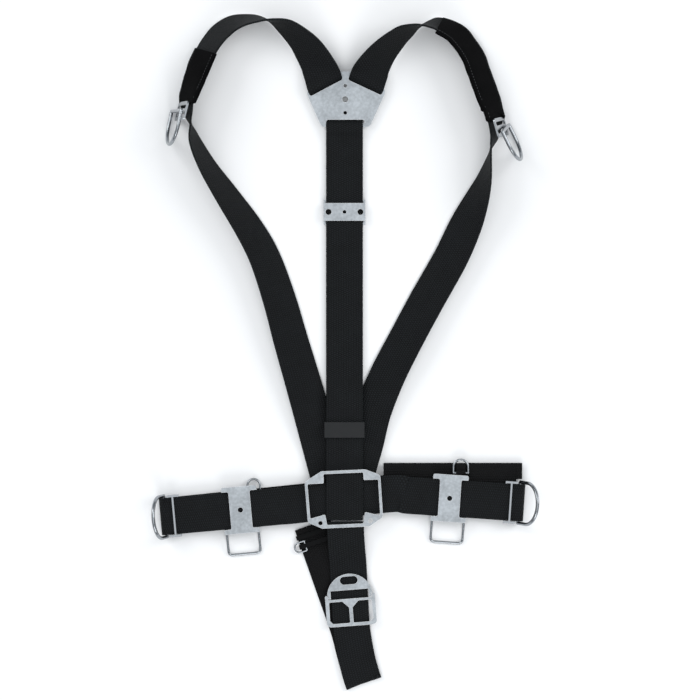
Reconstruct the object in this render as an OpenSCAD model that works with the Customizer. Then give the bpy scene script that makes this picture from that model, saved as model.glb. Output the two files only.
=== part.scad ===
// Diving harness that carries breathing cylinders at the diver's sides.
// It lies flat with its back side up: +Y is the head end, +Z is up, the floor is z = 0.

/* [Webbing] */
// Width of the webbing
web_w = 50; // [49:0.5:51]
// Thickness of the webbing
web_t = 2.5; // [2:0.1:2.6]
// Thickness of the foam pads on the shoulder straps
pad_t = 6; // [5:0.5:7]
// Width of the foam pads on the shoulder straps
pad_w = 60; // [56:1:62]

/* [Plates] */
// Thickness of the steel plates
plate_t = 2.5; // [2:0.1:2.6]
// Width of the slots that webbing passes through
slot_w = 5.5; // [5:0.5:6]
// Turn of the lumbar plate about its centre, in degrees
lumbar_turn = 2.6; // [0:0.1:4]
// Width of a hip plate's web along the belt
hip_web = 29; // [26:1:32]
// Height of a hip plate across the belt
hip_h = 64; // [63:1:66]
// Diameter of the end holes in the spine plate
spine_hole_d = 8; // [5:0.1:8]

/* [Rings] */
// Diameter of the wire of the D-rings
ring_wire = 4.8; // [4:0.1:4.8]
// Width between the legs of a D-ring
ring_in = 51; // [50:0.5:52]
// Depth of a D-ring from its bar to the top of its bow
ring_depth = 46; // [40:1:50]
// Tilt of the hip D-rings above the floor, in degrees
hip_ring_tilt = 68; // [40:1:80]
// Diameter of the wire of the rectangular drop rings
drop_wire = 3.4; // [2.6:0.1:3.4]

/* [Hidden] */

gap = 0.3;                       // clearance between neighbouring pieces
half_w = web_w / 2;
web_black = "#1b1c1e";
pad_black = "#131315";
steel = "#b9bdc0";
wire_steel = "#8f9498";
rubber_black = "#15171c";

// Heights of the layers of webbing, each the underside of its layer
z_front = 0;                     // front half of the belt, on the floor
fold_seam = 0.05;                // hairline between a belt and the fold at its end
tail_z = 5.3;                    // free tail of the belt, past its buckle
z_belt = 11;                     // back half of the belt
z_spine = z_belt + web_t + gap;  // spine strap where it crosses the belt
z_lumbar = z_spine + web_t + 2 * gap;
over_z = z_spine + web_t / 2;    // middle of the straps that cross the belt

centre = [-1, 458];              // middle of the whole harness, which the origin lies under

// ---- shape helpers ----

// A piece in its colour, placed about the origin
module piece(shade) { color(shade) translate([-centre[0], -centre[1], 0]) children(); }

function unit(v) = v / norm(v);

// Outline with every corner rounded to radius r, by steps of an arc
function rounded(pts, r, steps = 6) = [
    for (i = [0:len(pts) - 1])
        let (p = pts[i],
             u = unit(pts[(i + len(pts) - 1) % len(pts)] - p),
             v = unit(pts[(i + 1) % len(pts)] - p),
             half = acos(u * v) / 2,
             centre = p + unit(u + v) * r / sin(half),
             from = unit(p + u * r / tan(half) - centre),
             to = unit(p + v * r / tan(half) - centre))
        for (k = [0:steps])
            centre + r * unit(from * (steps - k) + to * k)
];

// Closed outline of a line of constant thickness t through the points
function thick_line(pts, t) =
    let (n = len(pts),
         side = [for (i = [0:n - 1])
             let (a = unit(pts[min(i + 1, n - 1)] - pts[min(i, n - 2)]),
                  b = unit(pts[max(i, 1)] - pts[max(i - 1, 0)]),
                  m = unit(a + b))
             [-m[1], m[0]] / max(0.5, m * a)])
    concat([for (i = [0:n - 1]) pts[i] + side[i] * t / 2],
           [for (i = [n - 1:-1:0]) pts[i] - side[i] * t / 2]);

module slot_shape(length, width) {
    square([length - width, width], center = true);
    for (s = [-1, 1]) translate([s * (length - width) / 2, 0]) circle(d = width, $fn = 32);
}

// Band of webbing: route in its side view as [along, height], as wide as w
module band(route, w = web_w, t = web_t) {
    rotate([90, 0, 90]) translate([0, 0, -w / 2]) linear_extrude(w) polygon(thick_line(route, t));
}

// Straight strip from a to b in plan, its underside at height z
module strip(a, b, z, w = web_w, t = web_t) {
    run = b - a;
    translate([a[0], a[1], z]) rotate([0, 0, atan2(run[1], run[0])])
        translate([0, -w / 2, 0]) cube([norm(run), w, t]);
}

// Twisting ribbon. Each station is [x, y, z, turn, tilt]: the middle of the ribbon,
// the plan direction of its width and how far that width is tilted up from the floor.
function width_dir(s) = [cos(s[3]) * cos(s[4]), sin(s[3]) * cos(s[4]), sin(s[4])];
function mid(s) = [s[0], s[1], s[2]];
function blend4(a, b, c, d, t) =
    0.5 * (2 * b + (c - a) * t + (2 * a - 5 * b + 4 * c - d) * t * t
           + (3 * b - 3 * c + d - a) * t * t * t);
function smooth_route(st, steps) = [
    for (i = [0:len(st) - 2])
        for (k = [0:steps - 1])
            blend4(st[max(i - 1, 0)], st[i], st[i + 1], st[min(i + 2, len(st) - 1)], k / steps),
    st[len(st) - 1]
];
module ribbon(stations, w = web_w, t = web_t, steps = 3) {
    route = smooth_route(stations, steps);
    n = len(route);
    corners = [for (i = [0:n - 1])
        let (tangent = mid(route[min(i + 1, n - 1)]) - mid(route[max(i - 1, 0)]),
             across = width_dir(route[i]),
             up = unit(cross(across, tangent)))
        for (c = [[-1, -1], [1, -1], [1, 1], [-1, 1]])
            mid(route[i]) + across * c[0] * w / 2 + up * c[1] * t / 2];
    walls = [for (i = [0:n - 2]) for (k = [0:3])
        let (a = 4 * i + k, b = 4 * i + (k + 1) % 4)
        for (f = [[a, b, a + 4], [b, b + 4, a + 4]]) f];
    ends = [[0, 2, 1], [0, 3, 2], [4 * n - 4, 4 * n - 3, 4 * n - 2], [4 * n - 4, 4 * n - 2, 4 * n - 1]];
    polyhedron(corners, concat(walls, ends));
}

// D-ring of wire: its bar along X at the origin and its bow towards +Y
module d_ring(inside, depth, wire) {
    r = (inside + wire) / 2;
    leg = max(depth - r, 1);
    rotate([0, 90, 0]) cylinder(h = 2 * r, d = wire, center = true, $fn = 24);
    for (s = [-1, 1]) {
        translate([s * r, 0, 0]) sphere(d = wire, $fn = 24);
        translate([s * r, 0, 0]) rotate([-90, 0, 0]) cylinder(h = leg, d = wire, $fn = 24);
    }
    translate([0, leg, 0]) rotate_extrude(angle = 180, $fn = 48)
        translate([r, 0]) circle(d = wire, $fn = 24);
}

// Rectangular ring of wire: its top bar along X at the origin, its body towards -Y
module wire_rectangle(inside, drop, wire, bend = 5) {
    x = (inside + wire) / 2;
    rotate([0, 90, 0]) cylinder(h = 2 * x, d = wire, center = true, $fn = 24);
    translate([0, -drop, 0]) rotate([0, 90, 0])
        cylinder(h = 2 * (x - bend), d = wire, center = true, $fn = 24);
    for (s = [-1, 1]) {
        translate([s * x, 0, 0]) sphere(d = wire, $fn = 24);
        translate([s * x, 0, 0]) rotate([90, 0, 0]) cylinder(h = drop - bend, d = wire, $fn = 24);
        translate([s * (x - bend), bend - drop, 0]) rotate([0, 0, s > 0 ? -90 : 180])
            rotate_extrude(angle = 90, $fn = 48) translate([bend, 0]) circle(d = wire, $fn = 24);
    }
}

// ---- places ----

plate_z = 6;                     // underside of the shoulder plate
shoulder_y = 802;                // middle hole of the shoulder plate
spine_x = -1;                    // middle of the spine strap
spine_plate_y = 649;
keeper_z = 10.8;                 // middle of the spine strap where the keeper band holds it
keeper_y = 353;
spine_z = 5.2;                   // middle of the spine strap below the shoulder plate
lumbar_at = [-1, 260];
belt_left = [[-244.5, 235.3], [-60, 252]];
belt_right = [[58, 266], [236.5, 254]];
hip_left_at = [-142, 244.6];
hip_right_at = [141.5, 260.4];
hip_turn_left = atan2(belt_left[1][1] - belt_left[0][1], belt_left[1][0] - belt_left[0][0]);
hip_turn_right = atan2(belt_right[1][1] - belt_right[0][1], belt_right[1][0] - belt_right[0][0]);
bar_z = z_belt + web_t - 5.25;   // height of the hip D-rings' bars, inside the belt's folds

// Shoulder strap routes from the plate's slot over the shoulder and down to the waist
left_route = [
    [-24, 814, 3.6, 28, 0], [-25.6, 817.6, 4.4, 28, 0], [-26.5, 820, 6.6, 28, 0], [-28, 824, 9.8, 28, 1],
    [-31, 834, 13, 24, 14], [-38, 849, 19, 22, 30], [-50, 868, 22, 27, 42],
    [-63, 883, 24, 30, 55], [-80, 897, 26, 36, 68], [-98, 905, 28, 62, 90],
    [-117, 908, 28, 88, 106], [-135, 907, 27, 104, 114], [-153, 902, 26, 118, 122],
    [-169, 891, 25, 136, 126], [-180, 878, 25, 146, 126], [-188, 865, 25, 154, 126],
    [-198, 842, 25, 158, 126], [-207, 817, 25, 160, 122], [-213, 798, 26, 162, 116],
    [-211, 780, 27, 172, 104], [-207, 762, 27, 184, 88], [-202, 742, 26, 198, 74],
    [-186, 710, 24, 206, 64], [-163, 675, 22, 209, 54], [-129, 624, 18.5, 209, 42],
    [-108, 584, 16.5, 206, 36], [-89, 529, 14.5, 200, 30], [-74, 475, 12, 197, 24],
    [-58, 420, 9, 196, 17], [-44, 370, 6, 196, 10], [-32, 325, 4.1, 196, 0], [-21, 284, 4.1, 196, 0]];
right_route = [
    [25, 815, 3.6, 155, 0], [26.3, 818, 4.4, 155, 0], [27.5, 820.5, 6.6, 155, 0], [29, 824, 9.8, 155, 1],
    [32, 833, 13, 150, 14], [38, 845, 19, 147, 32], [51, 863, 23, 146, 48],
    [69, 881, 25, 142, 62], [82, 891, 26, 138, 72], [97, 898, 28, 118, 90],
    [117, 901, 28, 84, 110], [130, 899, 27, 62, 122], [149, 889, 26, 46, 126],
    [163, 873, 25, 40, 126], [174, 855, 25, 32, 126], [181, 836, 25, 24, 126],
    [191, 808, 25, 20, 126], [199, 786, 25, 14, 122], [202, 768, 26, 8, 114],
    [201, 750, 27, 0, 104], [197, 736, 27, -6, 94], [194, 720, 27, -10, 86],
    [187, 690, 25, -18, 68], [177, 662, 21, -22, 50], [161, 625, 14.5, -24, 30],
    [142, 584, 12, -25, 24], [111, 529, 11, -29, 22], [82, 475, 11, -27, 22],
    [58, 428, 9, -24, 16], [38, 378, 5.6, -20, 9], [27, 334, 5, -17, 0],
    [20, 310, 7, -16, 0], [14, 286, 7, -16, 0]];

// Stretches of those routes that the foam pads wrap
left_pad_route = [[-188, 865, 28, 154, 126], [-198, 842, 28, 158, 126], [-207, 817, 28, 160, 122],
    [-211, 804, 29, 161, 119]];
right_pad_route = [[127, 900, 28, 66, 120], [149, 889, 28, 46, 126], [163, 873, 28, 40, 126],
    [174, 855, 28, 32, 126], [181, 836, 28, 24, 126], [191, 808, 28, 20, 126],
    [199, 786, 28, 14, 122], [200.5, 780, 29, 11, 119]];

// ---- back plates and the spine ----

module shoulder_plate() {
    tab = rounded([[-9, 840], [9, 840], [57, 816], [33, 764], [-32, 764], [-54, 814]], 9);
    piece(steel) difference() {
        translate([0, 0, plate_z]) linear_extrude(plate_t) difference() {
            polygon(tab);
            translate([0.5, 771.5]) slot_shape(web_w + 2, slot_w);
            translate([-26.5, 820]) rotate(28) slot_shape(web_w, slot_w);
            translate([27.5, 820.5]) rotate(-25) slot_shape(web_w, slot_w);
        }
        for (hole = [[18.4, 5], [0, 8], [-18.4, 5]])
            translate([0, shoulder_y + hole[0], 0]) cylinder(h = 40, d = hole[1], center = true, $fn = 32);
    }
}

module spine_strap() {
    top = plate_z + plate_t + gap + web_t / 2;
    piece(web_black) translate([spine_x, 0, 0])
        band([[230.6, over_z], [290, over_z], [312, keeper_z], [402, keeper_z], [450, 6.5],
              [520, spine_z], [640, spine_z], [735, spine_z], [752, 7], [759, top], [767.5, top],
              [771.5, 7], [775, 3.6],
              [794, 3.6]]);
}

// Three-bar slide on the spine strap: a wide middle bar over the strap, two thin ones under it
module spine_plate() {
    top = web_t / 2 + gap;
    low = -web_t / 2 - gap - plate_t;
    piece(steel) translate([spine_x, spine_plate_y, spine_z]) difference() {
        union() {
            translate([0, 0, top]) linear_extrude(plate_t)
                polygon(rounded([[-28.5, -12], [28.5, -12], [28.5, 12], [-28.5, 12]], 1));
            for (s = [-1, 1]) {
                translate([s * 27.2 - 1.3, -17, low]) cube([2.6, 34, plate_t]);
                translate([s * 27.2 - 1.3, -11, low]) cube([2.6, 22, top - low + 0.5]);
                translate([-28.5, s * 15.75 - 1.25, low]) cube([57, 2.5, plate_t]);
            }
        }
        for (x = [-21.6, 0, 21.6])
            translate([x, 0, 0]) cylinder(h = 40, d = x == 0 ? 5 : spine_hole_d, center = true, $fn = 32);
    }
}

module keeper_band() {
    wall = 1.6;
    piece(rubber_black) translate([spine_x, keeper_y + 10.5, keeper_z]) rotate([90, 0, 0])
        linear_extrude(21) difference() {
            square([web_w + 2 * wall + 1, web_t + 2 * wall + 2.4], center = true);
            square([web_w + 1, web_t + 2.4], center = true);
        }
}

module lumbar_plate() {
    frame = rounded([[-53, 25], [-30, 38.5], [30, 38.5], [50, 30], [51, -27], [32, -39], [-32, -39],
        [-51, -30]], 6);
    window = rounded([[-49.2, 22], [-27, 22], [-27, 34.5], [27, 34.5], [27, 24], [46.6, 24], [47.4, -25],
        [27, -19], [24, -34.5], [-25, -34.5], [-27, -20], [-47.4, -25]], 1.8, 4);
    piece(steel) translate([lumbar_at[0], lumbar_at[1], z_lumbar]) rotate([0, 0, lumbar_turn])
        linear_extrude(plate_t) difference() {
            polygon(frame);
            polygon(window);
            for (s = [-1, 1]) translate([s * 34, -31.5]) circle(d = 6, $fn = 32);
        }
}

// ---- shoulders ----

module shoulder_strap_left() { piece(web_black) ribbon(left_route); }
module shoulder_strap_right() { piece(web_black) ribbon(right_route); }

module shoulder_pad_left() { piece(pad_black) ribbon(left_pad_route, pad_w, pad_t, 4); }
module shoulder_pad_right() { piece(pad_black) ribbon(right_pad_route, pad_w, pad_t, 4); }

// Three-bar slide lying in its own XY plane, its bars along X
module slide_plate(bar = web_w + 2, run = 26) {
    linear_extrude(2.2) difference() {
        polygon(rounded([[-bar / 2 - 4, -run / 2], [bar / 2 + 4, -run / 2],
            [bar / 2 + 4, run / 2], [-bar / 2 - 4, run / 2]], 4));
        for (y = [-5.5, 5.5]) translate([0, y]) slot_shape(bar, 5);
    }
}

// Place with local X along a tilted width and local Y along a plan direction
module stand(at, turn, pitch, roll) {
    translate(at) rotate([0, 0, turn]) rotate([pitch, 0, 0]) rotate([0, -roll, 0]) children();
}

left_slide = [[-221.6, 784, 29.8], 166, 0, 106];
right_slide = [[209, 762, 30], -164, -4, 72];
left_ring = [[-227.5, 784, 31], 168, 0, 108];
right_ring = [[216.5, 760, 32.5], -153, -8, 72];

module shoulder_slide_left() {
    piece(wire_steel) stand(left_slide[0], left_slide[1], left_slide[2], left_slide[3])
        slide_plate();
}
module shoulder_slide_right() {
    piece(wire_steel) stand(right_slide[0], right_slide[1], right_slide[2], right_slide[3])
        slide_plate();
}
module shoulder_d_ring_left() {
    piece(wire_steel) stand(left_ring[0], left_ring[1], left_ring[2], left_ring[3])
        d_ring(ring_in, ring_depth, ring_wire);
}
module shoulder_d_ring_right() {
    piece(wire_steel) stand(right_ring[0], right_ring[1], right_ring[2], right_ring[3])
        d_ring(ring_in, ring_depth, ring_wire);
}

// ---- waist ----

// Half turn of webbing round a ring's bar at a belt's end, opening along +X
module belt_fold() {
    inner = (z_belt - web_t) / 2;
    rotate([90, 0, 0]) translate([0, web_t + inner, -half_w]) linear_extrude(web_w) difference() {
        circle(r = inner + web_t, $fn = 64);
        circle(r = inner, $fn = 64);
        translate([-fold_seam, -50]) square([100, 100]);
    }
}

module waist_belt() {
    piece(web_black) {
        translate([0, 0, z_belt]) linear_extrude(web_t)
            polygon(thick_line(concat(belt_left, belt_right), web_w));
        translate([belt_left[0][0], belt_left[0][1], 0]) rotate([0, 0, hip_turn_left]) belt_fold();
        translate([belt_right[1][0], belt_right[1][1], 0]) rotate([0, 0, 180 + hip_turn_right]) belt_fold();
    }
}

module front_belt_left() {
    piece(web_black) strip([-244.2, 235.3], [55, 266], z_front);
}
module front_belt_right() {
    piece(web_black) translate([0, 0, z_front]) linear_extrude(web_t)
        polygon(thick_line([[235.5, 254.1], [208, 256], [168, 268], [112.5, 272]], web_w));
}
// Free end of the belt, its hidden corner cut away round the bar of the hip D-ring
module belt_tail() {
    piece(web_black) translate([0, 0, tail_z]) linear_extrude(web_t)
        polygon([[52, 258], [232.5, 258], [232.5, 286], [240.5, 286], [240.5, 308], [52, 308]]);
}

drop_y = -web_w / 2 - 4.1;       // axis of the drop rings' top bars, in a hip plate's own frame
drop_z = z_belt + web_t + gap - 3.6;
drop_tilt = asin((drop_z - drop_wire / 2) / 33);

// Hip plate in its own frame: the belt runs along X at height z_belt
module hip_plate() {
    full = hip_web + 19;
    edge = web_w / 2 + 0.5;
    rail_z = z_belt - gap - plate_t;
    top_z = z_belt + web_t + gap;
    difference() {
        union() {
            translate([0, 0, top_z]) linear_extrude(plate_t) polygon(rounded([
                [-full / 2, -hip_h / 2], [full / 2, -hip_h / 2], [full / 2, -edge], [hip_web / 2, -edge],
                [hip_web / 2, edge], [full / 2, edge], [full / 2, hip_h / 2], [-full / 2, hip_h / 2],
                [-full / 2, edge], [-hip_web / 2, edge], [-hip_web / 2, -edge], [-full / 2, -edge]], 2.4));
            for (x = [-1, 1]) {
                translate([x * (full / 2 - 2) - 2, -edge - 1.6, rail_z]) cube([4, 2 * edge + 3.2, plate_t]);
                for (s = [-1, 1]) translate([x * (full / 2 - 2) - 2, s * (edge + 0.8) - 0.8, rail_z])
                    cube([4, 1.6, top_z - rail_z + 0.5]);
            }
            translate([0, drop_y, drop_z]) rotate([0, 90, 0])
                cylinder(h = hip_web, d = 6.4, center = true, $fn = 32);
            translate([-hip_web / 2, drop_y - 1.5, drop_z + 2]) cube([hip_web, 3, top_z + 0.5 - drop_z - 2]);
        }
        translate([0, drop_y, drop_z]) rotate([0, 90, 0])
            cylinder(h = 60, d = drop_wire + 0.16, center = true, $fn = 32);
        cylinder(h = 60, d = 7, center = true, $fn = 32);
    }
}

module drop_ring() {
    translate([0, drop_y, drop_z]) rotate([drop_tilt, 0, 0]) wire_rectangle(40, 33, drop_wire);
}

module at_left_hip() {
    translate([hip_left_at[0], hip_left_at[1], 0]) rotate([0, 0, hip_turn_left]) children();
}
module at_right_hip() {
    translate([hip_right_at[0], hip_right_at[1], 0]) rotate([0, 0, hip_turn_right]) children();
}
module hip_plate_left() { piece(steel) at_left_hip() hip_plate(); }
module hip_plate_right() { piece(steel) at_right_hip() hip_plate(); }
module drop_ring_left() { piece(wire_steel) at_left_hip() drop_ring(); }
module drop_ring_right() { piece(wire_steel) at_right_hip() drop_ring(); }

// Slide that grips the belt's fold: its middle bar on the belt, its outer bars under it
module hip_slide() {
    rail_z = z_belt - gap - 2.4;
    top_z = z_belt + web_t + gap;
    for (x = [-7, 7]) translate([x - 1.2, -28.5, rail_z]) cube([2.4, 57, 2.4]);
    translate([-1.2, -28.5, top_z]) cube([2.4, 57, 2.4]);
    for (s = [-1, 1]) translate([-8.2, s * 27.1 - 1.4, rail_z]) cube([16.4, 2.8, top_z + 2.4 - rail_z]);
}
module hip_slide_left() {
    piece(wire_steel) translate([belt_left[0][0], belt_left[0][1], 0]) rotate([0, 0, hip_turn_left])
        translate([12.5, 0, 0]) hip_slide();
}
module hip_slide_right() {
    piece(wire_steel) translate([belt_right[1][0], belt_right[1][1], 0]) rotate([0, 0, hip_turn_right])
        translate([-12.5, 0, 0]) hip_slide();
}
module hip_ring(side, tilt) {
    rotate([0, 0, -90 * side]) rotate([tilt, 0, 0]) d_ring(ring_in, ring_depth, ring_wire);
}
module hip_d_ring_left() {
    piece(wire_steel) translate([belt_left[0][0], belt_left[0][1], (z_belt + web_t) / 2])
        rotate([0, 0, hip_turn_left]) hip_ring(-1, hip_ring_tilt + 6);
}
module hip_d_ring_right() {
    piece(wire_steel) translate([belt_right[1][0], belt_right[1][1], (z_belt + web_t) / 2])
        rotate([0, 0, hip_turn_right]) hip_ring(1, hip_ring_tilt - 6);
}

// Small D-rings on the front half of the belt, which peek out past its upper edge
module front_d_ring_left() {
    piece(wire_steel) translate([-123, 263, z_front + web_t + gap + 1.7]) rotate([0, 0, 6])
        d_ring(14, 23, 3);
}
module front_d_ring_right() {
    piece(wire_steel) translate([157, 294.5, tail_z + web_t + gap + 1.7]) d_ring(17, 18, 3);
}

// Buckle of the waist belt, under the belt's back half
buckle_at = [84, 272];
buckle_pin_x = 72;
buckle_pin_z = 3.4;
module waist_buckle_frame() {
    piece(steel) difference() {
        union() {
            translate([buckle_at[0], buckle_at[1], 0]) linear_extrude(plate_t) difference() {
                polygon(rounded([[-26, -31], [26, -31], [26, 31], [-26, 31]], 5));
                square([38, web_w + 2], center = true);
            }
            for (s = [-1, 1]) translate([buckle_pin_x - 3, buckle_at[1] + s * 28.2 - 1.8, plate_t - 0.5])
                cube([6, 3.6, 3.2]);
        }
        translate([buckle_pin_x, buckle_at[1], buckle_pin_z]) rotate([90, 0, 0])
            cylinder(h = 80, d = 2, center = true, $fn = 24);
    }
}
module waist_buckle_pin() {
    piece(wire_steel) translate([buckle_pin_x, buckle_at[1], buckle_pin_z]) rotate([90, 0, 0])
        cylinder(h = 60, d = 2, center = true, $fn = 24);
}
module waist_buckle_cam() {
    piece(steel) difference() {
        translate([buckle_pin_x - 1.3, buckle_at[1] - 24, buckle_pin_z - 1.2]) cube([25.3, 48, 2.3]);
        translate([buckle_pin_x, buckle_at[1], buckle_pin_z]) rotate([90, 0, 0])
            cylinder(h = 80, d = 2 * 1.06, center = true, $fn = 24);
    }
}

// ---- crotch strap ----

crotch_z = 4.25;                 // middle of the strap's back half, on its front half
crotch_route = [[0.3, 229, over_z, 3, 0], [0.6, 214, over_z, 3, 0], [2, 192, 9.6, 3, 0],
    [4, 168, crotch_z, 3, 0],
    [6, 130, crotch_z, 4, 0], [8.5, 86, crotch_z, 5, 0], [14, 50, crotch_z, 11, 0],
    [20, 25, crotch_z, 17, 0], [24, 12, crotch_z, 18.5, 0], [25, 9.4, 3.5, 18.5, 0],
    [25, 9.4, 2, 18.5, 0], [24, 12, 1.25, 18.5, 0]];
front_crotch_line = [[23.2, 14.2], [4, 84], [-45, 224]];
front_crotch_turn = 18.5;

module crotch_strap() { piece(web_black) ribbon(crotch_route, steps = 2); }
module crotch_strap_front() {
    piece(web_black) linear_extrude(web_t) polygon(thick_line(front_crotch_line, web_w));
}

// Band round the front half of the strap, its underside lifted to height z
module crotch_band(at, z) {
    piece(rubber_black) translate([at[0], at[1], 0]) rotate([0, 0, front_crotch_turn]) {
        translate([-26.6, -3, z]) cube([53.2, 6, 1.4]);
        for (s = [-1, 1]) translate([s * 26 - 0.6, -3, 0]) cube([1.2, 6, z + 0.7]);
    }
}
module crotch_band_upper() { crotch_band([-41.2, 213], web_t + gap); }
module crotch_band_lower() { crotch_band([-37, 201], web_t + 2 * gap + 2.4); }
module crotch_d_ring() {
    piece(wire_steel) translate([-54.1, 195.3, web_t + gap + 1.2]) rotate([0, 0, 90 + front_crotch_turn])
        d_ring(11, 15, 2.4);
}

// Crotch buckle in its own frame: the lever's pivot runs along X at the origin
buckle_spot = [6.5, 126];
buckle_turn = 4.5;
buckle_z = crotch_z + web_t / 2 + gap;
pivot_z = plate_t / 2;
module at_crotch_buckle() {
    translate([buckle_spot[0], buckle_spot[1], buckle_z]) rotate([0, 0, buckle_turn]) children();
}
module crotch_buckle_lever() {
    piece(steel) at_crotch_buckle() {
        linear_extrude(plate_t) difference() {
            intersection() {
                translate([0, 0.5]) circle(r = 31, $fn = 96);
                translate([-40, 4]) square([80, 40]);
            }
            translate([0, 22.5]) slot_shape(24, 11);
            translate([-26, -1]) square([52, 10.5]);
        }
        for (s = [-1, 1]) {
            translate([s * 27.8 - 1.8, -1.4, 0]) cube([3.6, 8, plate_t]);
            translate([s * 29.3, 0, pivot_z]) rotate([0, 90, 0])
                cylinder(h = 6.6, d = 1.8, center = true, $fn = 24);
        }
    }
}
// Rounded lower corner of the buckle's frame on side s
function buckle_corner(s) = [for (k = [0:6]) let (turn = s > 0 ? -15 * k : -90 - 15 * k)
    [s * 28, -33.5] + 6 * [cos(turn), sin(turn)]];
module crotch_buckle_frame() {
    piece(steel) at_crotch_buckle() difference() {
        linear_extrude(plate_t) difference() {
            polygon(concat([[-34, 2.4], [-33, 3.4], [-31, 3.4], [-30, 2.4], [-30, -2.4], [30, -2.4],
                [30, 2.4], [31, 3.4], [33, 3.4], [34, 2.4]], buckle_corner(1), buckle_corner(-1)));
            translate([0, -1.2]) for (m = [0, 1]) mirror([m, 0]) polygon(rounded(
                [[-2.4, -13], [-11, -4.5], [-29, -4.5], [-29.5, -30], [-25.5, -34], [-2.4, -34]], 1.6, 3));
        }
        translate([0, 0, pivot_z]) rotate([0, 90, 0]) cylinder(h = 80, d = 1.9, center = true, $fn = 24);
    }
}

shoulder_plate();
spine_strap();
spine_plate();
keeper_band();
shoulder_strap_left();
shoulder_strap_right();
shoulder_pad_left();
shoulder_pad_right();
shoulder_slide_left();
shoulder_slide_right();
shoulder_d_ring_left();
shoulder_d_ring_right();
lumbar_plate();
waist_belt();
front_belt_left();
front_belt_right();
belt_tail();
hip_plate_left();
hip_plate_right();
drop_ring_left();
drop_ring_right();
hip_slide_left();
hip_slide_right();
hip_d_ring_left();
hip_d_ring_right();
front_d_ring_left();
front_d_ring_right();
waist_buckle_frame();
waist_buckle_cam();
waist_buckle_pin();
crotch_strap();
crotch_strap_front();
crotch_buckle_lever();
crotch_buckle_frame();
crotch_band_upper();
crotch_band_lower();
crotch_d_ring();
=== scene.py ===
"""Sidemount diving harness: woven webbing, neoprene pads and steel hardware built round its CAD frame."""

import math

import bpy
from bpy.props import FloatProperty, FloatVectorProperty, IntProperty, PointerProperty
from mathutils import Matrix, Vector, noise


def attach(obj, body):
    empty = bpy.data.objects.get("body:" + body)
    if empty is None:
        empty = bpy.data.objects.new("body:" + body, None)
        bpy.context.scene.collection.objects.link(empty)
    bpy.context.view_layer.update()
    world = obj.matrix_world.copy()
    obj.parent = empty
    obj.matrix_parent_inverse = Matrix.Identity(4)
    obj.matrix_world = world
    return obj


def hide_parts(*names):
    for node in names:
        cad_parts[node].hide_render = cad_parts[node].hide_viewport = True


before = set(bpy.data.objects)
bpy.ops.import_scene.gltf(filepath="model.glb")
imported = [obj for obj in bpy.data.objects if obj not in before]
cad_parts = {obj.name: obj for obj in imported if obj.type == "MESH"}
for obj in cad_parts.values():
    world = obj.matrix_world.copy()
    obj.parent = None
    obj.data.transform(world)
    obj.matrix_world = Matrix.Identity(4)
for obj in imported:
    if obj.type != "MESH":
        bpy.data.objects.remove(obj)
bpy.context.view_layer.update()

bl_info = {
    "name": "Diving Harness",
    "version": (1, 0, 0),
    "blender": (4, 5, 0),
    "location": "3D View > Sidebar > Harness",
    "description": "Builds a webbing harness with pads, plates and rings",
    "category": "Add Mesh",
}

MM = 0.001
HARNESS = "harness"      # the body that all the webbing rides on

# The middle of the harness on the drawing board, in millimetres, which lies over the origin.
CENTRE = (-1.0, 458.0)

# Heights of the middles of the webbing's layers, in millimetres.
FRONT_Z = 1.25
TAIL_Z = 6.55
BELT_Z = 12.25
SPINE_Z = 15.05
KEEPER_Z = 10.8
SPINE_LOW_Z = 5.2
CROTCH_Z = 4.25
FOLD_Z = 6.75
FOLD_R = 5.5

# Routes of the webbing: x, y, z of its middle in millimetres, the plan direction of its width
# in degrees, and how far that width is tilted up from the floor.
LEFT_SHOULDER = [
    (-24, 814, 3.6, 28, 0), (-25.6, 817.6, 4.4, 28, 0), (-26.5, 820, 6.6, 28, 0), (-28, 824, 9.8, 28, 1),
    (-31, 834, 13, 24, 14), (-38, 849, 19, 22, 30), (-50, 868, 22, 27, 42),
    (-63, 883, 24, 30, 55), (-80, 897, 26, 36, 68), (-98, 905, 28, 62, 90),
    (-117, 908, 28, 88, 106), (-135, 907, 27, 104, 114), (-153, 902, 26, 118, 122),
    (-169, 891, 25, 136, 126), (-180, 878, 25, 146, 126), (-188, 865, 25, 154, 126),
    (-198, 842, 25, 158, 126), (-207, 817, 25, 160, 122), (-213, 798, 26, 162, 116),
    (-211, 780, 27, 172, 104), (-207, 762, 27, 184, 88), (-202, 742, 26, 198, 74),
    (-186, 710, 24, 206, 64), (-163, 675, 22, 209, 54), (-129, 624, 18.5, 209, 42),
    (-108, 584, 16.5, 206, 36), (-89, 529, 14.5, 200, 30), (-74, 475, 12, 197, 24),
    (-58, 420, 9, 196, 17), (-44, 370, 6, 196, 10), (-32, 325, 4.1, 196, 0), (-21, 284, 4.1, 196, 0)]
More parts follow.
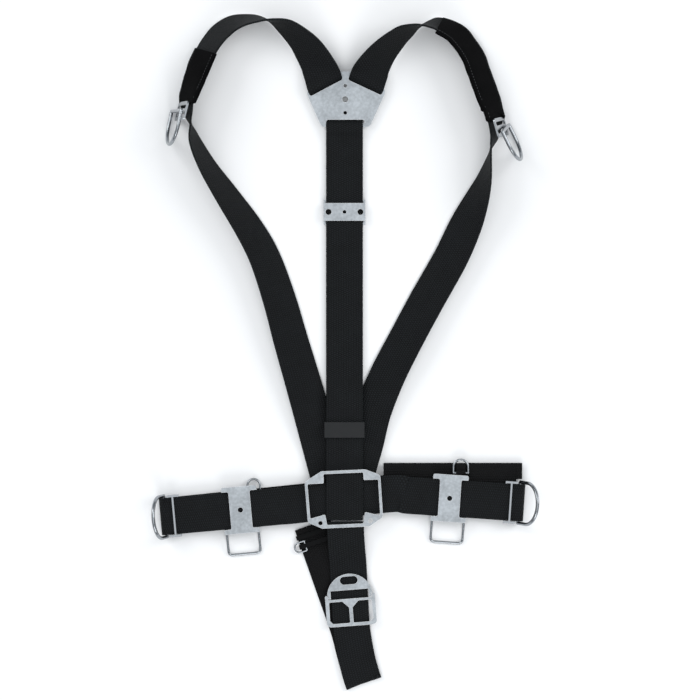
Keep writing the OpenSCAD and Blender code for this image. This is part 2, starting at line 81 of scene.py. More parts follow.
RIGHT_SHOULDER = [
    (25, 815, 3.6, 155, 0), (26.3, 818, 4.4, 155, 0), (27.5, 820.5, 6.6, 155, 0), (29, 824, 9.8, 155, 1),
    (32, 833, 13, 150, 14), (38, 845, 19, 147, 32), (51, 863, 23, 146, 48),
    (69, 881, 25, 142, 62), (82, 891, 26, 138, 72), (97, 898, 28, 118, 90),
    (117, 901, 28, 84, 110), (130, 899, 27, 62, 122), (149, 889, 26, 46, 126),
    (163, 873, 25, 40, 126), (174, 855, 25, 32, 126), (181, 836, 25, 24, 126),
    (191, 808, 25, 20, 126), (199, 786, 25, 14, 122), (202, 768, 26, 8, 114),
    (201, 750, 27, 0, 104), (197, 736, 27, -6, 94), (194, 720, 27, -10, 86),
    (187, 690, 25, -18, 68), (177, 662, 21, -22, 50), (161, 625, 14.5, -24, 30),
    (142, 584, 12, -25, 24), (111, 529, 11, -29, 22), (82, 475, 11, -27, 22),
    (58, 428, 9, -24, 16), (38, 378, 5.6, -20, 9), (27, 334, 5, -17, 0), (20, 310, 7, -16, 0),
    (14, 286, 7, -16, 0)]
LEFT_PAD = [(-188, 865, 28, 154, 126), (-198, 842, 28, 158, 126), (-207, 817, 28, 160, 122),
            (-211, 804, 29, 161, 119), (-212.5, 794, 29, 164, 114)]
RIGHT_PAD = [(127, 900, 28, 66, 120), (149, 889, 28, 46, 126), (163, 873, 28, 40, 126),
             (174, 855, 28, 32, 126), (181, 836, 28, 24, 126), (191, 808, 28, 20, 126),
             (199, 786, 28, 14, 122), (200.5, 780, 29, 11, 119),
             (201.5, 769, 29, 8, 114)]
SPINE = [(-1, 230.6, SPINE_Z, 0, 0), (-1, 250, SPINE_Z, 0, 0), (-1, 270, SPINE_Z, 0, 0),
         (-1, 290, SPINE_Z, 0, 0), (-1, 301, 13, 0, 0), (-1, 312, KEEPER_Z, 0, 0),
         (-1, 340, KEEPER_Z, 0, 0), (-1, 370, KEEPER_Z, 0, 0), (-1, 402, KEEPER_Z, 0, 0),
         (-1, 450, 6.5, 0, 0), (-1, 520, SPINE_LOW_Z, 0, 0), (-1, 580, SPINE_LOW_Z, 0, 0),
         (-1, 640, SPINE_LOW_Z, 0, 0), (-1, 690, SPINE_LOW_Z, 0, 0), (-1, 735, SPINE_LOW_Z, 0, 0),
         (-1, 752, 7, 0, 0), (-1, 759, 10.05, 0, 0), (-1, 767.5, 10.05, 0, 0), (-1, 771.5, 7, 0, 0),
         (-1, 775, 3.6, 0, 0), (-1, 786, 3.6, 0, 0), (-1, 794, 3.6, 0, 0)]
CROTCH = [(0.3, 229, SPINE_Z, 3, 0), (0.6, 214, SPINE_Z, 3, 0), (2, 192, 9.6, 3, 0),
          (4, 168, CROTCH_Z, 3, 0), (6, 130, CROTCH_Z, 4, 0), (8.5, 86, CROTCH_Z, 5, 0),
          (14, 50, CROTCH_Z, 11, 0), (20, 25, CROTCH_Z, 17, 0), (24, 12, CROTCH_Z, 18.5, 0),
          (25, 9.4, 3.5, 18.5, 0), (25, 9.4, 2, 18.5, 0), (24, 12, 1.25, 18.5, 0)]
CROTCH_FRONT = [(23.2, 14.2, FRONT_Z, 17, 0), (13, 50, FRONT_Z, 16, 0), (4, 84, FRONT_Z, 17, 0),
                (-18, 147, FRONT_Z, 19, 0), (-45, 224, FRONT_Z, 19, 0)]
BELT_LEFT_END = (-244.5, 235.3, 5.17)
BELT_LEFT_INNER = (-60, 252)
BELT_RIGHT_INNER = (58, 266)
BELT_RIGHT_END = (236.5, 254, -3.85)
FRONT_LEFT = [(-244.2, 235.3, FRONT_Z, 95.8, 0), (-150, 244.9, FRONT_Z, 95.8, 0),
              (-40, 256.2, FRONT_Z, 95.8, 0), (55, 266, FRONT_Z, 95.8, 0)]
FRONT_RIGHT = [(235.5, 254.1, FRONT_Z, 86, 0), (208, 256, FRONT_Z, 80, 0),
               (168, 268, FRONT_Z, 78, 0), (112.5, 272, FRONT_Z, 86, 0)]
TAIL = [(52, 283, TAIL_Z, 90, 0), (115, 283, TAIL_Z, 90, 0), (180, 283, TAIL_Z, 90, 0),
        (232.5, 283, TAIL_Z, 90, 0)]
TAIL_END = [(232, 297, TAIL_Z, 90, 0), (240.5, 297, TAIL_Z, 90, 0)]
TAIL_END_WIDTH = 22
# Tab that holds the right front D-ring by its bar.
RING_TAB = [(157, 285, 9.1, 0, 0), (157, 289, 9.3, 0, 0), (157, 292, 11.8, 0, 0),
            (157, 294.5, 12.8, 0, 0), (157, 297, 11.8, 0, 0), (157, 300, 9.3, 0, 0), (157, 307, 9.1, 0, 0)]
RING_TAB_WIDTH = 13

STEPS = 6                # cuts of a band or sleeve between two stations of its route
SMOOTH_UNDER = 40        # faces that meet at less than this many degrees are shaded as one

# A sleeve's tube, in metres.
AROUND = 40              # faces around the tube
FOAM = 1.6 * MM          # wall of the neoprene
HEM = 6 * MM             # from an edge or an end to its seam
QUILT = 9 * MM           # spacing of the soft rows across a sleeve, as an angle's unit
CREASE = 16 * MM         # size of its creases

# A stitch's length and thickness, in millimetres.
STITCH_LONG = 2.6
STITCH_THICK = 0.8

# Sensor width of the stage's camera, in millimetres.
SENSOR = 36


# ---- settings ----

def colour(text):
    """An sRGB hex colour as linear red, green, blue and an alpha of 1."""
    parts = [int(text[k:k + 2], 16) / 255 for k in (1, 3, 5)]
    return tuple([c / 12.92 if c <= 0.04045 else ((c + 0.055) / 1.055) ** 2.4 for c in parts] + [1.0])


def swatch(name, description, default):
    return FloatVectorProperty(name=name, description=description, subtype="COLOR", size=4,
                               min=0, max=1, default=colour(default))


def length(name, description, millimetres):
    return FloatProperty(name=name, description=description, default=millimetres * MM,
                         min=0, unit="LENGTH", precision=4)


class WebbingSettings(bpy.types.PropertyGroup):
    """Woven nylon webbing"""
    width: length("Width", "Width of the webbing", 50)
    thickness: length("Thickness", "Thickness of the webbing", 2.5)
    edge: length("Edge", "Radius of the rounded selvedge", 0.9)
    rib: length("Rib", "Spacing of the ribs along the webbing", 2.9)
    cord: length("Cord", "Spacing of the lengthwise cords", 3.4)
    yarn: swatch("Yarn", "Colour of the yarn's tops", "#1f2326")
    # Painted shade: the front webbing, the belt's tail and the ring's tab lie under the back webbing, so
    # their yarn is darker.
    shaded_yarn: swatch("Shaded yarn", "Colour of the yarn's tops on the front webbing", "#101113")
    # Painted shade in the valleys between the yarns.
    shade: swatch("Shade", "Colour between the yarns", "#030303")
    across: IntProperty(name="Cuts across", description="Faces across the width", default=10, min=2)


class PadSettings(bpy.types.PropertyGroup):
    """Neoprene sleeves on the shoulder straps"""
    width: length("Width", "Width of a sleeve", 59)
    thickness: length("Thickness", "Thickness of a sleeve round its strap", 7)
    cloth: swatch("Cloth", "Colour of the knitted face", "#0b0b0c")
    thread: swatch("Thread", "Colour of the sewing thread", "#2a2c30")
    stitch: length("Stitch", "Spacing of the stitches", 4)


class HardwareSettings(bpy.types.PropertyGroup):
    """Stainless steel and rubber parts"""
    plate: swatch("Plate", "Colour of the blasted plates", "#b4babf")
    # Painted highlight along the plates' rounded rims.
    rim_highlight: swatch("Rim highlight", "Colour of the plates' rims", "#f4f5f6")
    wire: swatch("Wire", "Colour of the polished wire", "#9a9ea2")
    rubber: swatch("Rubber", "Colour of the rubber keeper", "#14171a")
    elastic: swatch("Elastic", "Colour of the elastic bands", "#08090a")


class StageSettings(bpy.types.PropertyGroup):
    """Floor, lights and camera"""
    floor: swatch("Floor", "Colour of the floor", "#f6f7f8")
    surroundings: swatch("Surroundings", "Colour of the dim room round the lights", "#969a9e")
    overhead: FloatProperty(name="Overhead", description="Radiance of the box overhead", default=1.0, min=0)
    side: FloatProperty(name="Side", description="Radiance of the boxes at the sides", default=4.0, min=0)
    camera_height: length("Camera height", "Height of the camera above the floor", 3200)
    field: length("Field", "Width of floor that the camera sees", 953.4)


# ---- materials ----

def wire(node, inputs):
    """Sets each input of a node to a value, or links it from a (node, output) pair."""
    for socket, value in inputs.items():
        if isinstance(value, tuple) and isinstance(value[0], bpy.types.Node):
            node.id_data.links.new(value[0].outputs[value[1]], node.inputs[socket])
        else:
            node.inputs[socket].default_value = value


def add(material, kind, inputs, **settings):
    """Adds one shader node with its settings and its inputs."""
    made = material.node_tree.nodes.new(kind)
    for key, value in settings.items():
        setattr(made, key, value)
    wire(made, inputs)
    return made


def start_material(name):
    """A new material and its Principled shader."""
    made = bpy.data.materials.new(name)
    made.use_nodes = True
    return made, made.node_tree.nodes["Principled BSDF"]


def dimmed(swatch_colour, share):
    return tuple([share * c for c in swatch_colour[:3]] + [1.0])


def woven_nylon(name, settings, yarn_colour):
    """Filament nylon in a tight ribbed narrow weave: matt and light-trapping, so hardly glossy."""
    material, shader = start_material(name)
    uv = add(material, "ShaderNodeUVMap", {}, uv_map="UVMap")
    place = add(material, "ShaderNodeSeparateXYZ", {0: (uv, 0)})
    column = add(material, "ShaderNodeMath", {0: (place, 0), 1: settings.cord}, operation="DIVIDE")
    row = add(material, "ShaderNodeMath", {0: (place, 1), 1: settings.rib}, operation="DIVIDE")
    # Neighbouring cords are half a rib out of step, as the warp yarns of a plain weave are.
    whole = add(material, "ShaderNodeMath", {0: (column, 0)}, operation="FLOOR")
    step = add(material, "ShaderNodeMath", {0: (whole, 0), 1: 0.5, 2: (row, 0)}, operation="MULTIPLY_ADD")
    turn = add(material, "ShaderNodeMath", {0: (step, 0), 1: math.tau}, operation="MULTIPLY")
    wave = add(material, "ShaderNodeMath", {0: (turn, 0)}, operation="SINE")
    high = add(material, "ShaderNodeMath", {0: (wave, 0), 1: 0.5, 2: 0.5}, operation="MULTIPLY_ADD")
    part = add(material, "ShaderNodeMath", {0: (column, 0)}, operation="FRACT")
    arc = add(material, "ShaderNodeMath", {0: (part, 0), 1: math.pi}, operation="MULTIPLY")
    crown = add(material, "ShaderNodeMath", {0: (arc, 0)}, operation="SINE")
    yarn = add(material, "ShaderNodeMath", {0: (high, 0), 1: (crown, 0)}, operation="MULTIPLY")
    # Filaments about 0.5 mm thick catch the light unevenly, painted into the colour as flecks of light and
    # shade; patches of wear are some 30 mm across.
    fine = add(material, "ShaderNodeTexNoise", {"Vector": (uv, 0), "Scale": 1 / (0.5 * MM), "Detail": 2.0})
    broad = add(material, "ShaderNodeTexNoise", {"Vector": (uv, 0), "Scale": 1 / (30 * MM), "Detail": 3.0})
    rough = add(material, "ShaderNodeMath", {0: (fine, 0), 1: 0.35, 2: (yarn, 0)}, operation="MULTIPLY_ADD")
    wear_and_weave_shade = add(material, "ShaderNodeMath", {0: (broad, 0), 1: 0.35, 2: (rough, 0)}, operation="MULTIPLY_ADD")
    # The colour runs from painted shade in the valleys between the yarns to the yarn tops, with painted
    # flecks along the filaments and real patches of wear.
    share = add(material, "ShaderNodeMapRange", {0: (wear_and_weave_shade, 0), 1: 0.2, 2: 1.5})
    tone = add(material, "ShaderNodeMix", {0: (share, 0), 6: settings.shade, 7: yarn_colour},
               data_type="RGBA")
    bump = add(material, "ShaderNodeBump", {"Strength": 1.0, "Distance": 0.7 * MM, "Height": (rough, 0)})
    wire(shader, {"Base Color": (tone, 2), "Roughness": 0.7, "Specular IOR Level": 0.15,
                  "Normal": (bump, 0)})
    return material


def knitted_neoprene(name, settings):
    """Foam rubber faced with fine nylon jersey: soft, deep black and hardly glossy."""
    material, shader = start_material(name)
    uv = add(material, "ShaderNodeUVMap", {}, uv_map="UVMap")
    # Jersey stitches are about 0.8 mm; drawn at 1.4 mm so that they show.
    knit = add(material, "ShaderNodeTexVoronoi", {"Vector": (uv, 0), "Scale": 1 / (1.4 * MM)})
    # The foam creases softly every 18 mm or so where the sleeve has been bent.
    crease = add(material, "ShaderNodeTexNoise", {"Vector": (uv, 0), "Scale": 1 / (18 * MM), "Detail": 4.0})
    # The crease valleys are darkened to 35 % of the cloth's colour: painted shade.
    tone = add(material, "ShaderNodeMix",
               {0: (crease, 0), 6: dimmed(settings.cloth, 0.35), 7: settings.cloth}, data_type="RGBA")
    height = add(material, "ShaderNodeMath", {0: (crease, 0), 1: 2.5, 2: (knit, 0)},
                 operation="MULTIPLY_ADD")
    bump = add(material, "ShaderNodeBump", {"Strength": 0.5, "Distance": 0.4 * MM, "Height": (height, 0)})
    wire(shader, {"Base Color": (tone, 2), "Roughness": 0.9, "Specular IOR Level": 0.05,
                  "Normal": (bump, 0)})
    return material


def sewing_thread(name, settings):
    """Bonded polyester thread: twisted and slightly waxy."""
    material, shader = start_material(name)
    place = add(material, "ShaderNodeTexCoord", {})
    twist = add(material, "ShaderNodeTexNoise", {"Vector": (place, "Object"), "Scale": 1 / (0.6 * MM)})
    bump = add(material, "ShaderNodeBump", {"Strength": 0.4, "Distance": 0.2 * MM, "Height": (twist, 0)})
    wire(shader, {"Base Color": settings.thread, "Roughness": 0.45, "Normal": (bump, 0)})
    return material


def blasted_steel(name, settings):
    """Stainless sheet, laser cut and bead blasted: a mottled satin grey, with a painted highlight along its
    rounded rims.
    """
    material, shader = start_material(name)
    place = add(material, "ShaderNodeTexCoord", {})
    # Bead dimples are about 0.2 mm; drawn at 0.6 mm so that they show, and clustered at 4 mm.
    grit = add(material, "ShaderNodeTexNoise",
               {"Vector": (place, "Object"), "Scale": 1 / (0.6 * MM), "Detail": 2.0})
    mottle = add(material, "ShaderNodeTexNoise",
                 {"Vector": (place, "Object"), "Scale": 1 / (4 * MM), "Detail": 4.0})
    # Handling leaves smudges some 25 mm across.
    smudge = add(material, "ShaderNodeTexNoise",
                 {"Vector": (place, "Object"), "Scale": 1 / (25 * MM), "Detail": 3.0})
    mean = add(material, "ShaderNodeMath", {0: (mottle, 0), 1: (smudge, 0)}, operation="ADD")
    share = add(material, "ShaderNodeMapRange", {0: (mean, 0), 1: 0.75, 2: 1.25})
    tone = add(material, "ShaderNodeMix",
               {0: (share, 0), 6: dimmed(settings.plate, 0.7), 7: settings.plate}, data_type="RGBA")
    # The rims lie where a rounded edge's normal leaves the flat face's; there the colour turns to a
    # near-white painted highlight and the roughness rises.
    rounded = add(material, "ShaderNodeBevel", {"Radius": 0.8 * MM}, samples=6)
    flat = add(material, "ShaderNodeNewGeometry", {})
    facing = add(material, "ShaderNodeVectorMath", {0: (rounded, 0), 1: (flat, "True Normal")},
                 operation="DOT_PRODUCT")
    rim_highlight = add(material, "ShaderNodeMapRange", {0: (facing, "Value"), 1: 0.999, 2: 0.93})
    skin = add(material, "ShaderNodeMix", {0: (rim_highlight, 0), 6: (tone, 2), 7: settings.rim_highlight}, data_type="RGBA")
    rough = add(material, "ShaderNodeMapRange", {0: (rim_highlight, 0), 3: 0.42, 4: 0.8})
    bump = add(material, "ShaderNodeBump", {"Strength": 0.25, "Distance": 0.2 * MM,
                                            "Height": (grit, 0), "Normal": (rounded, 0)})
    wire(shader, {"Base Color": (skin, 2), "Metallic": 1.0, "Roughness": (rough, 0), "Normal": (bump, 0)})
    return material


def polished_steel(name, settings):
    """Stainless wire, bent, welded and electropolished: bright, with fine draw marks."""
    material, shader = start_material(name)
    place = add(material, "ShaderNodeTexCoord", {})
    # Draw marks are finer than 0.3 mm; drawn at 0.8 mm so that they show.
    marks = add(material, "ShaderNodeTexNoise",
                {"Vector": (place, "Object"), "Scale": 1 / (0.8 * MM), "Detail": 3.0})
    rough = add(material, "ShaderNodeMapRange", {0: (marks, 0), 1: 0.3, 2: 0.7, 3: 0.14, 4: 0.3})
    bump = add(material, "ShaderNodeBump", {"Strength": 0.08, "Distance": 0.1 * MM, "Height": (marks, 0)})
    wire(shader, {"Base Color": settings.wire, "Metallic": 1.0, "Roughness": (rough, 0),
                  "Normal": (bump, 0)})
    return material


def moulded_rubber(name, settings):
    """Cut butyl rubber tube: dark, smooth and faintly glossy, with a dusty bloom."""
    material, shader = start_material(name)
    place = add(material, "ShaderNodeTexCoord", {})
    bloom = add(material, "ShaderNodeTexNoise",
                {"Vector": (place, "Object"), "Scale": 1 / (6 * MM), "Detail": 4.0})
    rough = add(material, "ShaderNodeMapRange", {0: (bloom, 0), 1: 0.3, 2: 0.7, 3: 0.28, 4: 0.5})
    tone = add(material, "ShaderNodeMix",
               {0: (bloom, 0), 6: dimmed(settings.rubber, 0.6), 7: settings.rubber}, data_type="RGBA")
    bump = add(material, "ShaderNodeBump", {"Strength": 0.2, "Distance": 0.3 * MM, "Height": (bloom, 0)})
    wire(shader, {"Base Color": (tone, 2), "Roughness": (rough, 0), "Specular IOR Level": 0.3,
                  "Normal": (bump, 0)})
    return material


def woven_elastic(name, settings):
    """Rubber threads covered in nylon: dull black, ribbed along its length."""
    material, shader = start_material(name)
    place = add(material, "ShaderNodeTexCoord", {})
    # Covered threads lie about 1 mm apart.
    ribs = add(material, "ShaderNodeTexWave", {"Vector": (place, "Object"), "Scale": 0.3 / MM})
    bump = add(material, "ShaderNodeBump", {"Strength": 0.5, "Distance": 0.3 * MM, "Height": (ribs, 1)})
    wire(shader, {"Base Color": settings.elastic, "Roughness": 0.8, "Specular IOR Level": 0.15,
                  "Normal": (bump, 0)})
    return material


def finish_of(name, make, *settings):
    """The material of that name, made once."""
    return bpy.data.materials.get(name) or make(name, *settings)


# ---- modelling ----

def select_none():
    bpy.ops.object.select_all(action="DESELECT")


def make_active(piece):
    """Selects one piece alone and makes it active, as the operators expect."""
    select_none()
    bpy.context.view_layer.objects.active = piece
    piece.select_set(True)


def to_row(point):
    """A drawing-board point in millimetres as a point in the row frame, in metres."""
    return Vector((point[0] - CENTRE[0], point[1] - CENTRE[1], point[2])) * MM


def eased(a, b, c, d, t):
    """Catmull-Rom step between b and c."""
    return 0.5 * (2 * b + (c - a) * t + (2 * a - 5 * b + 4 * c - d) * t * t
                  + (3 * b - 3 * c + d - a) * t ** 3)


def smooth_route(stations):
    """The stations with STEPS cuts eased in from each one to the next."""
    last = len(stations) - 1
    route = []
    for i in range(last):
        near = [stations[max(i - 1, 0)], stations[i], stations[i + 1], stations[min(i + 2, last)]]
        for k in range(STEPS):
            route.append(tuple(eased(*values, k / STEPS) for values in zip(*near)))
    return route + [stations[last]]


def frames_along(stations):
    """Middle, width direction and face normal at each cut of a route, and the length up to it."""
    route = smooth_route(stations)
    middles = [to_row(s) for s in route]
    cuts, run = [], 0.0
    for i, s in enumerate(route):
        ahead = middles[min(i + 1, len(route) - 1)] - middles[max(i - 1, 0)]
        turn, tilt = math.radians(s[3]), math.radians(s[4])
        across = Vector((math.cos(turn) * math.cos(tilt), math.sin(turn) * math.cos(tilt), math.sin(tilt)))
        across = (across - ahead.normalized() * across.dot(ahead.normalized())).normalized()
        if i:
            run += (middles[i] - middles[i - 1]).length
        cuts.append((middles[i], across, ahead.cross(across).normalized(), run))
    return cuts


def apply_modifiers(piece):
    make_active(piece)
    for modifier in list(piece.modifiers):
        bpy.ops.object.modifier_apply(modifier=modifier.name)


def settle(piece, material, body):
    """Shades a finished piece, gives it its material and makes it ride on its body."""
    make_active(piece)
    bpy.ops.object.shade_smooth_by_angle(angle=math.radians(SMOOTH_UNDER))
    piece.data.materials.clear()
    piece.data.materials.append(material)
    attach(piece, body)


def grid_along(name, cuts, across, wide):
    """A grid with a row for each cut, its UVs in metres, and each vertex's column and row in it."""
    rows = len(cuts) - 1
    select_none()
    bpy.ops.mesh.primitive_grid_add(x_subdivisions=across, y_subdivisions=rows, size=1, calc_uvs=True)
    piece = bpy.context.object
    piece.name = name
    places = [(round((vertex.co.x + 0.5) * across), round((vertex.co.y + 0.5) * rows))
              for vertex in piece.data.vertices]
    for loop in piece.data.loops:
        i, j = places[loop.vertex_index]
        piece.data.uv_layers[0].data[loop.index].uv = (i / across * wide, cuts[j][3])
    return piece, places


def webbing(name, stations, settings, width=None):
    """A band of webbing along a route: a grid laid out by place, thickened, its selvedges rounded."""
    cuts = frames_along(stations)
    wide = width or settings.width
    piece, places = grid_along(name, cuts, settings.across, wide)
    for vertex, (i, j) in zip(piece.data.vertices, places):
        middle, side, _, _ = cuts[j]
        vertex.co = middle + side * ((i / settings.across - 0.5) * wide)
    body = piece.modifiers.new("body", "SOLIDIFY")
    body.thickness = settings.thickness
    body.offset = 0
    edges = piece.modifiers.new("selvedge", "BEVEL")
    edges.width = settings.edge
    edges.segments = 3
    edges.limit_method = "ANGLE"
    edges.angle_limit = math.radians(60)
    apply_modifiers(piece)
    return piece


def fold_stations(end, side):
    """Half turn of a belt round the ring's bar at a hip, from the floor side up to the back side."""
    x, y, turn = end
    out = Vector((math.cos(math.radians(turn)), math.sin(math.radians(turn)))) * side
    made = []
    for k in range(9):
        angle = math.pi * (k / 8 - 0.5)
        reach = FOLD_R * math.cos(angle)
        made.append((x + out.x * reach, y + out.y * reach, FOLD_Z + FOLD_R * math.sin(angle),
                     turn + 90, 0))
    return made


def straight_stations(start, end, turn, shares):
    """A straight run of the back half of the belt, at shares of the way along it."""
    return [(start[0] + share * (end[0] - start[0]), start[1] + share * (end[1] - start[1]), BELT_Z,
             turn + 90, 0) for share in shares]


def belt_stations():
    """The back half of the belt, with the fold at each hip."""
    left = straight_stations(BELT_LEFT_END, BELT_LEFT_INNER, BELT_LEFT_END[2],
                             (0.1, 0.25, 0.4, 0.55, 0.7, 0.85, 1.0))
    right = straight_stations(BELT_RIGHT_INNER, BELT_RIGHT_END, BELT_RIGHT_END[2],
                              (0.0, 0.15, 0.3, 0.45, 0.6, 0.75, 0.9))
    return fold_stations(BELT_LEFT_END, -1) + left + right + fold_stations(BELT_RIGHT_END, 1)[::-1]


def sleeve(name, stations, settings):
    """A neoprene sleeve: a tube of rounded section along its route, open at both ends."""
    cuts = frames_along(stations)
    piece, places = grid_along(name, cuts, AROUND, 2 * settings.width)
    for vertex, (i, j) in zip(piece.data.vertices, places):
        middle, side, up, run = cuts[j]
        angle = math.tau * i / AROUND
        # A flat oval: the sides pull in to a seam and the faces swell between soft rows.
        flat = math.copysign(abs(math.cos(angle)) ** 0.55, math.cos(angle))
        swell = math.copysign(abs(math.sin(angle)) ** 0.8, math.sin(angle))
        quilt = 1 + 0.05 * math.sin(run / QUILT) * abs(math.sin(angle))
        end = min(run, cuts[-1][3] - run) / HEM
        draw_in = 0.9 + 0.1 * min(1.0, end)
        crease = 1 + 0.35 * noise.noise(middle / CREASE + Vector((math.cos(angle), math.sin(angle), 0)))
        vertex.co = (middle + side * (flat * settings.width / 2 * (1 + 0.06 * (crease - 1)))
                     + up * (swell * settings.thickness / 2 * quilt * draw_in * crease))
    make_active(piece)
    bpy.ops.object.mode_set(mode="EDIT")
    bpy.ops.mesh.select_all(action="SELECT")
    bpy.ops.mesh.remove_doubles(threshold=0.05 * MM)
    bpy.ops.mesh.normals_make_consistent(inside=False)
    bpy.ops.object.mode_set(mode="OBJECT")
    wall = piece.modifiers.new("foam", "SOLIDIFY")
    wall.thickness = FOAM
    wall.offset = -1
    apply_modifiers(piece)
    return piece


def stitch_rows(name, stations, settings):
    """Rows of thread near both edges of a sleeve: one stitch, repeated along them."""
    cuts = frames_along(stations)
    count = int(cuts[-1][3] / settings.stitch) - 1
    select_none()
    bpy.ops.mesh.primitive_uv_sphere_add(segments=8, ring_count=5, radius=0.5)
    piece = bpy.context.object
    piece.name = name
    pattern = [vertex.co.copy() for vertex in piece.data.vertices]
    copies = piece.modifiers.new("stitches", "ARRAY")
    copies.count = 4 * count
    apply_modifiers(piece)
    for n in range(4 * count):
        edge, face, k = (-1, 1)[n % 2], (-1, 1)[n // 2 % 2], n // 4
        run = (k + 1) * settings.stitch
        at = min(range(len(cuts)), key=lambda cut: abs(cuts[cut][3] - run))
        after = max(min(at + 1, len(cuts) - 1), 1)
        along = (cuts[after][0] - cuts[after - 1][0]).normalized()
        middle, side, up, here = cuts[at]
        # The seam runs a hem in from the edge, where the sleeve is a little thinner than in its middle.
        spot = (middle + along * (run - here) + side * edge * (settings.width / 2 - HEM)
                + up * face * settings.thickness / 2 * 0.86)
        for index, co in enumerate(pattern):
            piece.data.vertices[n * len(pattern) + index].co = (
                spot + along * co.x * STITCH_LONG * MM + side * co.y * STITCH_THICK * MM
                + up * co.z * STITCH_THICK * MM)
    return piece


# ---- operators ----

class HARNESS_OT_back_webbing(bpy.types.Operator):
    """Builds the shoulder straps, the spine strap, the back half of the belt and the crotch strap"""
    bl_idname = "harness.back_webbing"
    bl_label = "Back Webbing"

    def execute(self, context):
        settings = context.scene.harness_webbing
        nylon = finish_of("Woven nylon", woven_nylon, settings, settings.yarn)
        for node, stations in (("shoulder_strap_left", LEFT_SHOULDER),
                               ("shoulder_strap_right", RIGHT_SHOULDER), ("spine_strap", SPINE),
                               ("waist_belt", belt_stations()), ("crotch_strap", CROTCH)):
            piece = webbing(node + "_webbing", stations, settings)
            settle(piece, nylon, HARNESS)
            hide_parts(node)
        return {"FINISHED"}


class HARNESS_OT_front_webbing(bpy.types.Operator):
    """Builds the front halves of the belt and of the crotch strap, the belt's free tail and a ring's tab"""
    bl_idname = "harness.front_webbing"
    bl_label = "Front Webbing"

    def execute(self, context):
        settings = context.scene.harness_webbing
        # A darker copy of the nylon, as painted shade on the webbing that lies under the back layers.
        nylon = finish_of("Woven nylon, inner face", woven_nylon, settings, settings.shaded_yarn)
        for node, stations in (("front_belt_left", FRONT_LEFT), ("front_belt_right", FRONT_RIGHT),
                               ("belt_tail", TAIL), ("crotch_strap_front", CROTCH_FRONT)):
            piece = webbing(node + "_webbing", stations, settings)
            settle(piece, nylon, HARNESS)
            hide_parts(node)
        end = webbing("belt_tail_end_webbing", TAIL_END, settings, TAIL_END_WIDTH * MM)
        settle(end, nylon, HARNESS)
        tab = webbing("ring_tab_webbing", RING_TAB, settings, RING_TAB_WIDTH * MM)
        settle(tab, nylon, HARNESS)
        return {"FINISHED"}


class HARNESS_OT_pads(bpy.types.Operator):
    """Builds the two neoprene sleeves and their stitching"""
    bl_idname = "harness.pads"
    bl_label = "Pads"

    def execute(self, context):
        settings = context.scene.harness_pads
        foam = finish_of("Knitted neoprene", knitted_neoprene, settings)
        thread = finish_of("Sewing thread", sewing_thread, settings)
        for side, stations in (("left", LEFT_PAD), ("right", RIGHT_PAD)):
            pad = sleeve("shoulder_pad_" + side + "_sleeve", stations, settings)
            settle(pad, foam, HARNESS)
            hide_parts("shoulder_pad_" + side)
            seam = stitch_rows("shoulder_pad_" + side + "_stitching", stations, settings)
            settle(seam, thread, HARNESS)
        return {"FINISHED"}


class HARNESS_OT_hardware(bpy.types.Operator):
    """Gives the plates, rings, slides, buckles and bands their finish"""
    bl_idname = "harness.hardware"
    bl_label = "Hardware"

    def execute(self, context):
        settings = context.scene.harness_hardware
        plate = finish_of("Blasted stainless steel", blasted_steel, settings)
        bright = finish_of("Polished stainless steel", polished_steel, settings)
        rubber = finish_of("Butyl rubber", moulded_rubber, settings)
        elastic = finish_of("Woven elastic", woven_elastic, settings)
        for name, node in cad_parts.items():
            if name == "keeper_band":
                finish = rubber
            elif name.startswith("crotch_band"):
                finish = elastic
            elif "ring" in name or "_slide_" in name or name == "waist_buckle_pin":
                finish = bright
            else:
                finish = plate
            for place in node.material_slots:
                place.material = finish
        return {"FINISHED"}


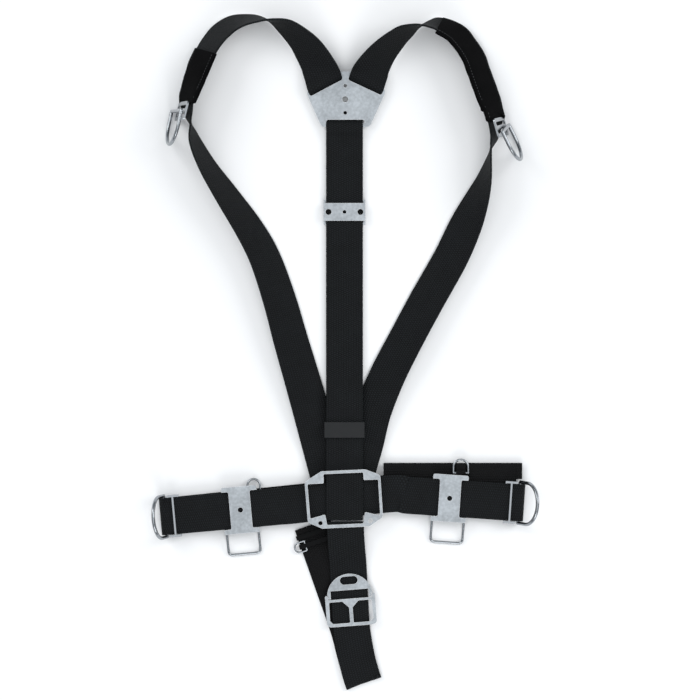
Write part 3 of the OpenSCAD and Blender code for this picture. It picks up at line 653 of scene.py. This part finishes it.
class HARNESS_OT_stage(bpy.types.Operator):
    """Sets up the floor, the lights, the surroundings and the camera"""
    bl_idname = "harness.stage"
    bl_label = "Stage"

    def execute(self, context):
        settings = context.scene.harness_stage
        scene = context.scene
        select_none()
        bpy.ops.mesh.primitive_plane_add(size=12)
        floor = context.object
        floor.name = "stage_floor"
        paper, shader = start_material("Matt white paper")
        wire(shader, {"Base Color": settings.floor, "Roughness": 0.9})
        floor.data.materials.append(paper)
        # One wide dim box overhead, which the plates mirror, and three bright boxes low at the sides.
        for name, place, size, radiance in (
                ("overhead", (0, 0, 3.6), 4.0, settings.overhead),
                ("key", (-2.0, 1.5, 1.7), 1.6, settings.side),
                ("fill", (2.2, 0.9, 1.7), 1.6, settings.side),
                ("foot", (0.3, -2.5, 1.7), 1.6, settings.side)):
            bpy.ops.object.light_add(type="AREA", location=place)
            lamp = context.object
            lamp.name = "stage_" + name
            lamp.data.size = size
            lamp.data.energy = radiance * math.pi * size ** 2
            lamp.rotation_euler = lamp.location.to_track_quat("Z", "Y").to_euler()
        scene.world = bpy.data.worlds.new("Studio")
        scene.world.use_nodes = True
        wire(scene.world.node_tree.nodes["Background"], {"Color": settings.surroundings})
        bpy.ops.object.camera_add(location=(7.5 * MM, 3.4 * MM, settings.camera_height), rotation=(0, 0, 0))
        camera = context.object
        camera.name = "stage_camera"
        camera.data.sensor_width = SENSOR
        camera.data.lens = SENSOR * settings.camera_height / settings.field
        scene.camera = camera
        scene.view_settings.view_transform = "Standard"
        return {"FINISHED"}


class HARNESS_PT_panel(bpy.types.Panel):
    """Lists the harness's settings and the steps that build it"""
    bl_idname = "HARNESS_PT_panel"
    bl_label = "Harness"
    bl_space_type = "VIEW_3D"
    bl_region_type = "UI"
    bl_category = "Harness"

    def draw(self, context):
        for group, operators in PARTS:
            box = self.layout.box()
            settings = getattr(context.scene, group)
            for name in settings.bl_rna.properties.keys():
                if name not in ("rna_type", "name"):
                    box.prop(settings, name)
            for operator in operators:
                box.operator(operator.bl_idname)


GROUPS = {"harness_webbing": WebbingSettings, "harness_pads": PadSettings,
          "harness_hardware": HardwareSettings, "harness_stage": StageSettings}
PARTS = (("harness_webbing", (HARNESS_OT_back_webbing, HARNESS_OT_front_webbing)),
         ("harness_pads", (HARNESS_OT_pads,)),
         ("harness_hardware", (HARNESS_OT_hardware,)),
         ("harness_stage", (HARNESS_OT_stage,)))
CLASSES = (*GROUPS.values(), *(operator for _, operators in PARTS for operator in operators),
           HARNESS_PT_panel)


def register():
    for one in CLASSES:
        bpy.utils.register_class(one)
    for name, group in GROUPS.items():
        setattr(bpy.types.Scene, name, PointerProperty(type=group))


def unregister():
    for name in GROUPS:
        delattr(bpy.types.Scene, name)
    for one in reversed(CLASSES):
        bpy.utils.unregister_class(one)


def main():
    register()
    bpy.ops.harness.back_webbing()
    bpy.ops.harness.front_webbing()
    bpy.ops.harness.pads()
    bpy.ops.harness.hardware()
    bpy.ops.harness.stage()


if __name__ == "__main__":
    main()
